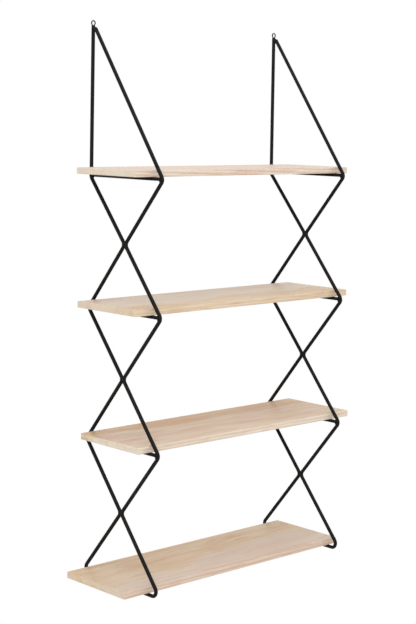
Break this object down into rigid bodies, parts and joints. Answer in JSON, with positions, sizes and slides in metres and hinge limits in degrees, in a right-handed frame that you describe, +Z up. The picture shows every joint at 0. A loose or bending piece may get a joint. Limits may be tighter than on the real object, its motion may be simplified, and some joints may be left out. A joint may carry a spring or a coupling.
{
  "type": "hanging wall shelf",
  "caption": "Hanging wall shelf: loose pale wooden boards lie on two zigzag side frames of black bent rod, each hung from a wire eye at its top.",
  "frame": {"origin": "midway between the middles of the two hanging eyes, on the plane of the wall", "axes": "+Z up, +Y into the wall, +X to the right as seen from the room; the front faces -Y"},
  "size_m": [0.735, 0.259, 1.3046],
  "materials": {
    "black_coat": "matt powder coat",
    "pale_wood": "bare, fine sanded"
  },
  "bodies": {
    "frames": {"left_front_rod": "black_coat", "left_back_rod": "black_coat", "left_bearer_1": "black_coat", "left_bearer_2": "black_coat", "left_bearer_3": "black_coat", "left_eye": "black_coat", "right_front_rod": "black_coat", "right_back_rod": "black_coat", "right_bearer_1": "black_coat", "right_bearer_2": "black_coat", "right_bearer_3": "black_coat", "right_eye": "black_coat"},
    "top_board": {"board_1": "pale_wood"},
    "second_board": {"board_2": "pale_wood"},
    "third_board": {"board_3": "pale_wood"},
    "bottom_board": {"board_4": "pale_wood"}
  },
  "joints": [
    {"name": "top_board_slide", "type": "slide", "parent": "frames", "child": "top_board", "axis": [1, 0, 0], "range_m": [-0.035, 0.057]},
    {"name": "second_board_slide", "type": "slide", "parent": "frames", "child": "second_board", "axis": [1, 0, 0], "range_m": [-0.042, 0.05]},
    {"name": "third_board_slide", "type": "slide", "parent": "frames", "child": "third_board", "axis": [1, 0, 0], "range_m": [-0.057, 0.035]},
    {"name": "bottom_board_slide", "type": "slide", "parent": "frames", "child": "bottom_board", "axis": [1, 0, 0], "range_m": [-0.022, 0.07]}
  ]
}
